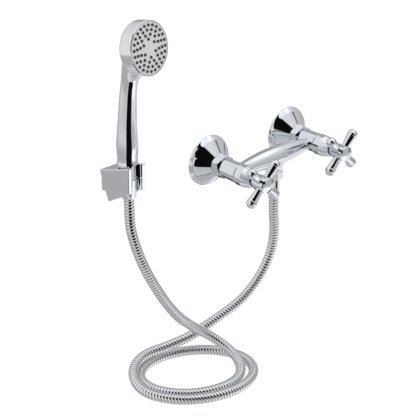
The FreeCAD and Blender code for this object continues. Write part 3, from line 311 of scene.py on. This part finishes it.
def hose_steel(name, tint, roughness):
    """Steel strip with painted shade darkening its grooves, from the values stored on the hose's points."""
    material = surface(name, tint, metallic=1.0, roughness=roughness, spread=0.35, grain=900.0,
                       grain_bump=0.05, mottle=0.10)
    tree = material.node_tree
    body = next(n for n in tree.nodes if n.type == "BSDF_PRINCIPLED")
    shade = body.inputs["Base Color"].links[0].from_socket
    # Painted shade: the base colour is mixed towards near black by the groove value stored on the points
    shade_attribute = tree.nodes.new("ShaderNodeAttribute")
    shade_attribute.attribute_name = "groove"
    mix = tree.nodes.new("ShaderNodeMix")
    mix.data_type = "RGBA"
    mix.inputs["B"].default_value = GROOVE_SHADE_COLOUR
    tree.links.new(shade_attribute.outputs["Fac"], mix.inputs["Factor"])
    tree.links.new(shade, mix.inputs["A"])
    tree.links.new(mix.outputs["Result"], body.inputs["Base Color"])
    return material


def finish_nodes(slots):
    """Gives every CAD node of the record's material slots its finish."""
    for entry in frame["record"]["subparts"]:
        material = slots.get("chrome" if entry["node"] in PLATED_UNIONS else entry["material_slot"])
        if material:
            node = frame["nodes"][entry["node"]]
            node.data.materials.clear()
            node.data.materials.append(material)


def new_object(name, mesh, material, body, smooth=True):
    """Object with one material, which rides on a body where one is given."""
    piece = bpy.data.objects.new(name, mesh)
    bpy.context.scene.collection.objects.link(piece)
    mesh.materials.append(material)
    if smooth:
        mesh.polygons.foreach_set("use_smooth", [True] * len(mesh.polygons))
    if body:
        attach(piece, body)
    return piece


def loop_point(angle_deg):
    """Point of the oval spiral that the lying loops follow, in millimetres."""
    angle = math.radians(angle_deg)
    turns = (angle_deg - LOOP_WIDEST_DEG) / 360
    across = (LOOP_HALF_AXES[0] - LOOP_PITCH[0] * turns) * math.cos(angle)
    along = (LOOP_HALF_AXES[1] - LOOP_PITCH[1] * turns) * math.sin(angle)
    entry = LOOP_ENTRY_RISE * max(0, 1 - (angle_deg - LOOP_START_DEG) / LOOP_ENTRY_DEG)
    climb = LOOP_EXIT_CLIMB * max(0, angle_deg - LOOP_EXIT_DEG)
    return (LOOP_CENTRE[0] + math.cos(LOOP_TURN) * across - math.sin(LOOP_TURN) * along,
            LOOP_CENTRE[1] + math.sin(LOOP_TURN) * across + math.cos(LOOP_TURN) * along,
            LOOP_CENTRE[2] + entry + climb)


def hose_line():
    """Points along the smooth curve whose control points are the hose's route."""
    loops = [loop_point(LOOP_START_DEG + LOOP_STEP_DEG * k) for k in range(LOOP_POINTS)]
    route = HOSE_DROP + HOSE_LEAD_IN + loops + HOSE_LEAD_OUT + HOSE_RISE
    curve = bpy.data.curves.new("hose_route", "CURVE")
    curve.dimensions = "3D"
    spline = curve.splines.new("NURBS")
    spline.points.add(len(route) - 1)
    for point, place in zip(spline.points, route):
        point.co = (*[c * MM for c in place], 1)
    spline.order_u = 3
    spline.use_endpoint_u = True
    spline.resolution_u = SPLINE_POINTS
    carrier = bpy.data.objects.new("hose_route", curve)
    bpy.context.scene.collection.objects.link(carrier)
    mesh = bpy.data.meshes.new_from_object(carrier)
    points = np.array([v.co[:] for v in mesh.vertices])
    bpy.data.objects.remove(carrier)
    bpy.data.curves.remove(curve)
    bpy.data.meshes.remove(mesh)
    return points


class Line:
    """A sampled line with places and steady frames at any distance along it."""

    def __init__(self, points):
        self.points = points
        steps = np.linalg.norm(np.diff(points, axis=0), axis=1)
        self.reach = np.concatenate([[0], np.cumsum(steps)])
        self.length = float(self.reach[-1])

    def place(self, distances):
        """Points at the given distances from the start."""
        return np.stack([np.interp(distances, self.reach, self.points[:, k]) for k in range(3)], axis=1)

    def frames(self, distances):
        """Places, and two unit directions across the line that turn with it without twist."""
        places = self.place(distances)
        ahead = self.place(np.clip(distances + WAY_STEP, 0, self.length))
        behind = self.place(np.clip(distances - WAY_STEP, 0, self.length))
        ways = ahead - behind
        ways /= np.linalg.norm(ways, axis=1)[:, None]
        first = np.empty_like(ways)
        steady = np.array([1.0, 0.0, 0.0])
        for i, way in enumerate(ways):
            steady = steady - way * steady.dot(way)
            steady /= np.linalg.norm(steady)
            first[i] = steady
        return places, first, np.cross(ways, first)


def rib_shape(phase):
    """Height of the strip's profile over one pitch, from 0 in the groove to 1 on the crest."""
    return np.sqrt(1 - np.abs(2 * (phase % 1.0) - 1) ** RIB_POWER)


def hose_tube(name, line, start, end, settings, material, body):
    """Ribbed tube whose strip winds round it, along part of the line, and the points of its path."""
    sides = settings.sides
    count = max(RINGS_LEAST, int((end - start) / settings.rib_pitch * settings.rings_per_rib))
    distances = np.linspace(start, end, count)
    places, across, up = line.frames(distances)
    angles = np.arange(sides) * 2 * math.pi / sides
    phase = distances[:, None] / settings.rib_pitch - angles[None, :] / (2 * math.pi)
    height = rib_shape(phase)
    radius = settings.groove_radius + (settings.crest_radius - settings.groove_radius) * height
    ring = (np.cos(angles)[None, :, None] * across[:, None, :]
            + np.sin(angles)[None, :, None] * up[:, None, :])
    grid = (places[:, None, :] + ring * radius[:, :, None]).reshape(-1, 3)
    faces = []
    for i in range(count - 1):
        for k in range(sides):
            n = (k + 1) % sides
            faces.append((i * sides + k, i * sides + n, (i + 1) * sides + n, (i + 1) * sides + k))
    faces.append(tuple(range(sides - 1, -1, -1)))
    faces.append(tuple((count - 1) * sides + k for k in range(sides)))
    mesh = bpy.data.meshes.new(name)
    mesh.from_pydata(grid.tolist(), [], faces)
    # The groove attribute holds painted shade: full at the bottom of each groove, fading to none towards
    # the crest
    shade_attribute = mesh.attributes.new("groove", "FLOAT", "POINT")
    groove_shade_values = np.clip(1 - height / GROOVE_SHADE_SHARE, 0, 1)
    shade_attribute.data.foreach_set("value", groove_shade_values.reshape(-1).astype(np.float32))
    mesh.update()
    piece = new_object(name, mesh, material, body)
    path = line.place(np.linspace(start, end, max(PATH_LEAST, int((end - start) / PATH_STEP))))
    return piece, path.tolist()


# Operators: one for each group of pieces and one for the stage

class SHOWER_OT_stage(bpy.types.Operator):
    """Sets up the camera, the world, the floor, the light tent, its cards and the lamps"""
    bl_idname = "shower.stage"
    bl_label = "Studio"

    def execute(self, context):
        st = context.scene.shower_stage
        scene = context.scene
        scene.view_settings.view_transform = "Standard"
        lens = bpy.data.cameras.new("camera")
        lens.lens = st.lens
        lens.sensor_width = SENSOR_WIDTH
        lens.clip_end = SEEN_DEPTH
        camera = bpy.data.objects.new("camera", lens)
        camera.location = st.camera_place
        camera.rotation_euler = (math.pi / 2 - st.camera_elevation, 0, st.camera_azimuth)
        scene.collection.objects.link(camera)
        scene.camera = camera
        self.world(scene)
        self.floor(st)
        self.tent()
        self.cards()
        self.lamps(scene)
        return {"FINISHED"}

    def world(self, scene):
        """White surroundings for the camera and the reflections, and a softer light on the pieces."""
        world = bpy.data.worlds.new("studio")
        scene.world = world
        world.use_nodes = True
        s = Shader(world.node_tree)
        out = s.add("ShaderNodeOutputWorld")
        rays = s.add("ShaderNodeLightPath")
        seen = s.add("ShaderNodeMath", operation="MAXIMUM")
        seen_all = s.add("ShaderNodeMath", operation="MAXIMUM")
        s.link(rays.outputs["Is Camera Ray"], seen.inputs[0])
        s.link(rays.outputs["Is Glossy Ray"], seen.inputs[1])
        s.link(seen.outputs[0], seen_all.inputs[0])
        s.link(rays.outputs["Is Transmission Ray"], seen_all.inputs[1])
        light = s.add("ShaderNodeBackground", in_Strength=WORLD_LIGHT)
        white = s.add("ShaderNodeBackground", in_Strength=1.0)
        for node in (light, white):
            node.inputs["Color"].default_value = (1, 1, 1, 1)
        mix = s.add("ShaderNodeMixShader")
        s.link(seen_all.outputs[0], mix.inputs[0])
        s.link(light.outputs[0], mix.inputs[1])
        s.link(white.outputs[0], mix.inputs[2])
        s.link(mix.outputs[0], out.inputs[0])

    def floor(self, st):
        """Pale floor that glows a little to the camera and keeps the set's shadow."""
        mesh = bpy.data.meshes.new("floor")
        half = FLOOR_HALF
        corners = [(-half, -half, st.floor_height), (half, -half, st.floor_height),
                   (half, half, st.floor_height), (-half, half, st.floor_height)]
        mesh.from_pydata(corners, [], [(0, 1, 2, 3)])
        material = bpy.data.materials.new("pale_floor")
        material.use_nodes = True
        s = Shader(material.node_tree)
        out = s.add("ShaderNodeOutputMaterial")
        rays = s.add("ShaderNodeLightPath")
        paint = s.add("ShaderNodeBsdfDiffuse")
        paint.inputs["Color"].default_value = (FLOOR_PAINT, FLOOR_PAINT, FLOOR_PAINT, 1)
        glow = s.add("ShaderNodeEmission", in_Strength=FLOOR_GLOW)
        glow.inputs["Color"].default_value = (1, 1, 1, 1)
        both = s.add("ShaderNodeAddShader")
        s.link(paint.outputs[0], both.inputs[0])
        s.link(glow.outputs[0], both.inputs[1])
        plain = s.add("ShaderNodeBsdfDiffuse")
        plain.inputs["Color"].default_value = (FLOOR_BOUNCE, FLOOR_BOUNCE, FLOOR_BOUNCE, 1)
        mix = s.add("ShaderNodeMixShader")
        s.link(rays.outputs["Is Camera Ray"], mix.inputs[0])
        s.link(plain.outputs[0], mix.inputs[1])
        s.link(both.outputs[0], mix.inputs[2])
        s.link(mix.outputs[0], out.inputs[0])
        piece = new_object("floor", mesh, material, None, smooth=False)
        piece.visible_glossy = False

    def tent(self):
        """Round tent that only reflections see: grey cloth, paler overhead, with pale and dark panels."""
        tent = new_object("light_tent", self.tent_mesh(), self.tent_cloth(), None)
        tent.location = STUDIO_MIDDLE
        self.only_reflected(tent)

    def tent_mesh(self):
        """Ball of cloth in rings from its lowest to its highest point."""
        points = [(0, 0, -TENT_RADIUS)]
        for i in range(1, TENT_RINGS):
            tilt = -math.pi / 2 + math.pi * i / TENT_RINGS
            width, height = TENT_RADIUS * math.cos(tilt), TENT_RADIUS * math.sin(tilt)
            for k in range(TENT_SIDES):
                turn = 2 * math.pi * k / TENT_SIDES
                points.append((width * math.sin(turn), width * math.cos(turn), height))
        points.append((0, 0, TENT_RADIUS))
        faces = []
        for k in range(TENT_SIDES):
            n = (k + 1) % TENT_SIDES
            faces.append((0, 1 + k, 1 + n))
            for i in range(TENT_RINGS - 2):
                a = 1 + i * TENT_SIDES
                faces.append((a + k, a + TENT_SIDES + k, a + TENT_SIDES + n, a + n))
            a = 1 + (TENT_RINGS - 2) * TENT_SIDES
            faces.append((a + k, len(points) - 1, a + n))
        mesh = bpy.data.meshes.new("light_tent")
        mesh.from_pydata(points, [], faces)
        return mesh

    def tent_cloth(self):
        """Glowing cloth whose tone follows the height, with each panel mixed over it."""
        material = bpy.data.materials.new("tent_cloth")
        material.use_nodes = True
        s = Shader(material.node_tree)
        out = s.add("ShaderNodeOutputMaterial")
        place = s.add("ShaderNodeTexCoord")
        unit = s.add("ShaderNodeVectorMath", operation="NORMALIZE")
        s.link(place.outputs["Object"], unit.inputs[0])
        axes = s.add("ShaderNodeSeparateXYZ")
        s.link(unit.outputs[0], axes.inputs[0])
        rise = s.add("ShaderNodeMapRange", in_From_Min=-1.0, in_From_Max=1.0)
        s.link(axes.outputs["Z"], rise.inputs["Value"])
        cloth = s.add("ShaderNodeValToRGB")
        ramp_stops(cloth, TENT_TONES)
        s.link(rise.outputs[0], cloth.inputs[0])
        turn = s.add("ShaderNodeMath", operation="ARCTAN2")
        s.link(axes.outputs["X"], turn.inputs[0])
        s.link(axes.outputs["Y"], turn.inputs[1])
        level = cloth.outputs[0]
        for panel in TENT_PANELS:
            level = self.tent_panel(s, level, turn.outputs[0], axes.outputs["Z"], *panel)
        glow = s.add("ShaderNodeEmission", in_Strength=1.0)
        s.link(level, glow.inputs["Color"])
        s.link(glow.outputs[0], out.inputs[0])
        return material

    def tent_panel(self, s, below, turn, rise, middle, half, soft, low, high, tone, lean, slope):
        """Mixes one panel over the cloth below it, and gives the new tone."""
        off = s.add("ShaderNodeMath", operation="SUBTRACT")
        s.link(turn, off.inputs[0])
        off.inputs[1].default_value = math.radians(middle)
        wrapped = s.add("ShaderNodeMath", operation="WRAP")
        s.link(off.outputs[0], wrapped.inputs[0])
        wrapped.inputs[1].default_value = math.pi
        wrapped.inputs[2].default_value = -math.pi
        leaned = s.add("ShaderNodeMath", operation="MULTIPLY_ADD")
        s.link(rise, leaned.inputs[0])
        leaned.inputs[1].default_value = -lean
        s.link(wrapped.outputs[0], leaned.inputs[2])
        away = s.add("ShaderNodeMath", operation="ABSOLUTE")
        s.link(leaned.outputs[0], away.inputs[0])
        height = s.add("ShaderNodeMath", operation="MULTIPLY_ADD")
        s.link(wrapped.outputs[0], height.inputs[0])
        height.inputs[1].default_value = -slope
        s.link(rise, height.inputs[2])
        side = self.soft_edge(s, away, math.radians(half - soft), math.radians(half + soft), 1.0, 0.0)
        bottom = self.soft_edge(s, height, math.sin(math.radians(low - soft)),
                                math.sin(math.radians(low + soft)), 0.0, 1.0)
        top = self.soft_edge(s, height, math.sin(math.radians(high - soft)),
                             math.sin(math.radians(high + soft)), 1.0, 0.0)
        mask = s.add("ShaderNodeMath", operation="MULTIPLY")
        s.link(side.outputs[0], mask.inputs[0])
        s.link(bottom.outputs[0], mask.inputs[1])
        mask_all = s.add("ShaderNodeMath", operation="MULTIPLY")
        s.link(mask.outputs[0], mask_all.inputs[0])
        s.link(top.outputs[0], mask_all.inputs[1])
        mix = s.add("ShaderNodeMix", data_type="RGBA")
        mix.inputs["B"].default_value = (tone, tone, tone, 1)
        s.link(mask_all.outputs[0], mix.inputs["Factor"])
        s.link(below, mix.inputs["A"])
        return mix.outputs["Result"]

    def soft_edge(self, s, source, start, end, before, after):
        """Smooth step of a node's value from one level to another."""
        edge = s.add("ShaderNodeMapRange", interpolation_type="SMOOTHSTEP", in_From_Min=start,
                     in_From_Max=end, in_To_Min=before, in_To_Max=after)
        s.link(source.outputs[0], edge.inputs["Value"])
        return edge

    def cards(self):
        """Dark cards that give the grip its stripe and the hose nut its dark side."""
        for name, seen_from, azimuth, elevation, distance, half_width, half_height, tone in CARDS:
            turn, tilt = math.radians(azimuth), math.radians(elevation)
            way = Vector((math.sin(turn) * math.cos(tilt), math.cos(turn) * math.cos(tilt), math.sin(tilt)))
            mesh = bpy.data.meshes.new(name)
            corners = [(-half_width, -half_height, 0), (half_width, -half_height, 0),
                       (half_width, half_height, 0), (-half_width, half_height, 0)]
            mesh.from_pydata(corners, [], [(0, 1, 2, 3)])
            material = bpy.data.materials.new(name)
            material.use_nodes = True
            s = Shader(material.node_tree)
            out = s.add("ShaderNodeOutputMaterial")
            glow = s.add("ShaderNodeEmission", in_Strength=1.0)
            glow.inputs["Color"].default_value = (tone, tone, tone, 1)
            s.link(glow.outputs[0], out.inputs[0])
            card = new_object(name, mesh, material, None, smooth=False)
            card.location = Vector(seen_from) + way * distance
            card.rotation_euler = way.to_track_quat("Z", "Y").to_euler()
            self.only_reflected(card)

    def only_reflected(self, piece):
        """Hides a piece of the studio from everything but reflections."""
        for way in ("camera", "diffuse", "transmission", "volume_scatter", "shadow"):
            setattr(piece, "visible_" + way, False)

    def lamps(self, scene):
        """Soft square lamps that reflections don't see."""
        for name, place, size, power in LAMPS:
            lamp = bpy.data.lights.new(name, "AREA")
            lamp.shape = "SQUARE"
            lamp.size = size
            lamp.energy = power
            item = bpy.data.objects.new(name, lamp)
            item.location = place
            aim = Vector(STUDIO_MIDDLE) - Vector(place)
            item.rotation_euler = aim.to_track_quat("-Z", "Y").to_euler()
            item.visible_glossy = False
            scene.collection.objects.link(item)


class SHOWER_OT_hose(bpy.types.Operator):
    """Winds the ribbed steel hose from the mixer through its loops up to the hand shower"""
    bl_idname = "shower.hose"
    bl_label = "Ribbed hose"

    def execute(self, context):
        looks, sizes = context.scene.shower_finish, context.scene.shower_hose
        steel = hose_steel("hose_steel", looks.hose_tint, looks.hose_roughness)
        line = Line(hose_line())
        corner = np.array(HOSE_RISE[0]) * MM
        near = np.linalg.norm(line.points - corner, axis=1)
        rise_start = float(line.reach[int(near.argmin())])
        top_start = line.length - HOSE_TOP_LENGTH
        lower, lower_path = hose_tube("hose_main", line, 0.0, rise_start, sizes, steel, "mixer")
        riser, riser_path = hose_tube("hose_riser", line, rise_start, top_start, sizes, steel, None)
        top, top_path = hose_tube("hose_top", line, top_start, line.length, sizes, steel, None)
        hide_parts("hose_drop", "hose_coil")
        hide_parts("hose_rise")
        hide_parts("hose_rise")
        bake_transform(riser)
        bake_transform(top)
        return {"FINISHED"}


class SHOWER_OT_finishes(bpy.types.Operator):
    """Gives every metal, plastic, rubber and ceramic piece its finish"""
    bl_idname = "shower.finishes"
    bl_label = "Finishes"

    def execute(self, context):
        looks = context.scene.shower_finish
        rough = looks.chrome_roughness
        finish_nodes({
            "chrome": surface("chrome_plate", looks.chrome_tint, metallic=1.0, roughness=rough,
                              wave=0.008, mottle=0.015),
            "plated_plastic": surface("plated_plastic", looks.plastic_tint, metallic=1.0,
                                      roughness=rough * PLASTIC_ROUGHNESS_SHARE, wave=0.008,
                                      mottle=0.015),
            "hose_steel": surface("plain_steel_strip", looks.hose_tint, metallic=1.0,
                                  roughness=looks.hose_roughness),
            "satin_plate": surface("satin_face", looks.satin_tint, metallic=0.35, roughness=0.38,
                                   spread=0.12, grain=1600.0, grain_bump=0.08, mottle=0.05),
            "brass": surface("machined_brass", BRASS_TINT, metallic=1.0, roughness=0.24,
                             grain_bump=0.1, mottle=0.12),
            "steel": surface("zinc_steel", STEEL_TINT, metallic=1.0, roughness=0.30,
                             grain_bump=0.1, mottle=0.10),
            "ceramic": surface("lapped_ceramic", CERAMIC_TINT, metallic=0.0, roughness=0.22,
                               mottle=0.03, coat=0.2),
            "rubber": surface("black_rubber", looks.rubber_tint, metallic=0.0, roughness=0.48,
                              spread=0.15, grain=1500.0, grain_bump=0.25, mottle=0.3, specular=0.35),
            "fibre": surface("fibre_washer", FIBRE_TINT, metallic=0.0, roughness=0.75,
                             grain=1200.0, grain_bump=0.4, mottle=0.35),
            "inner_plastic": surface("white_moulding", WHITE_TINT, metallic=0.0, roughness=0.42,
                                     grain_bump=0.1),
            "bare_plastic": surface("grey_moulding", GREY_TINT, metallic=0.0, roughness=0.45,
                                    grain_bump=0.1),
        })
        return {"FINISHED"}


class SHOWER_PT_panel(bpy.types.Panel):
    """Lists the steps that build the looks of the shower set"""
    bl_idname = "SHOWER_PT_panel"
    bl_label = "Shower set"
    bl_space_type = "VIEW_3D"
    bl_region_type = "UI"
    bl_category = "Shower"

    def draw(self, context):
        for group in (context.scene.shower_stage, context.scene.shower_hose, context.scene.shower_finish):
            for key in group.__annotations__:
                self.layout.prop(group, key)
        for step in STEPS:
            self.layout.operator(step.bl_idname)


STEPS = (SHOWER_OT_stage, SHOWER_OT_hose, SHOWER_OT_finishes)
GROUPS = {"shower_stage": StageSettings, "shower_hose": HoseSettings, "shower_finish": FinishSettings}


def register():
    for cls in (*GROUPS.values(), *STEPS, SHOWER_PT_panel):
        bpy.utils.register_class(cls)
    for name, group in GROUPS.items():
        setattr(bpy.types.Scene, name, bpy.props.PointerProperty(type=group))


def unregister():
    for name in GROUPS:
        delattr(bpy.types.Scene, name)
    for cls in reversed((*GROUPS.values(), *STEPS, SHOWER_PT_panel)):
        bpy.utils.unregister_class(cls)


def main():
    register()
    bpy.ops.shower.stage()
    bpy.ops.shower.hose()
    bpy.ops.shower.finishes()
    bpy.context.view_layer.update()


if __name__ == "__main__":
    main()
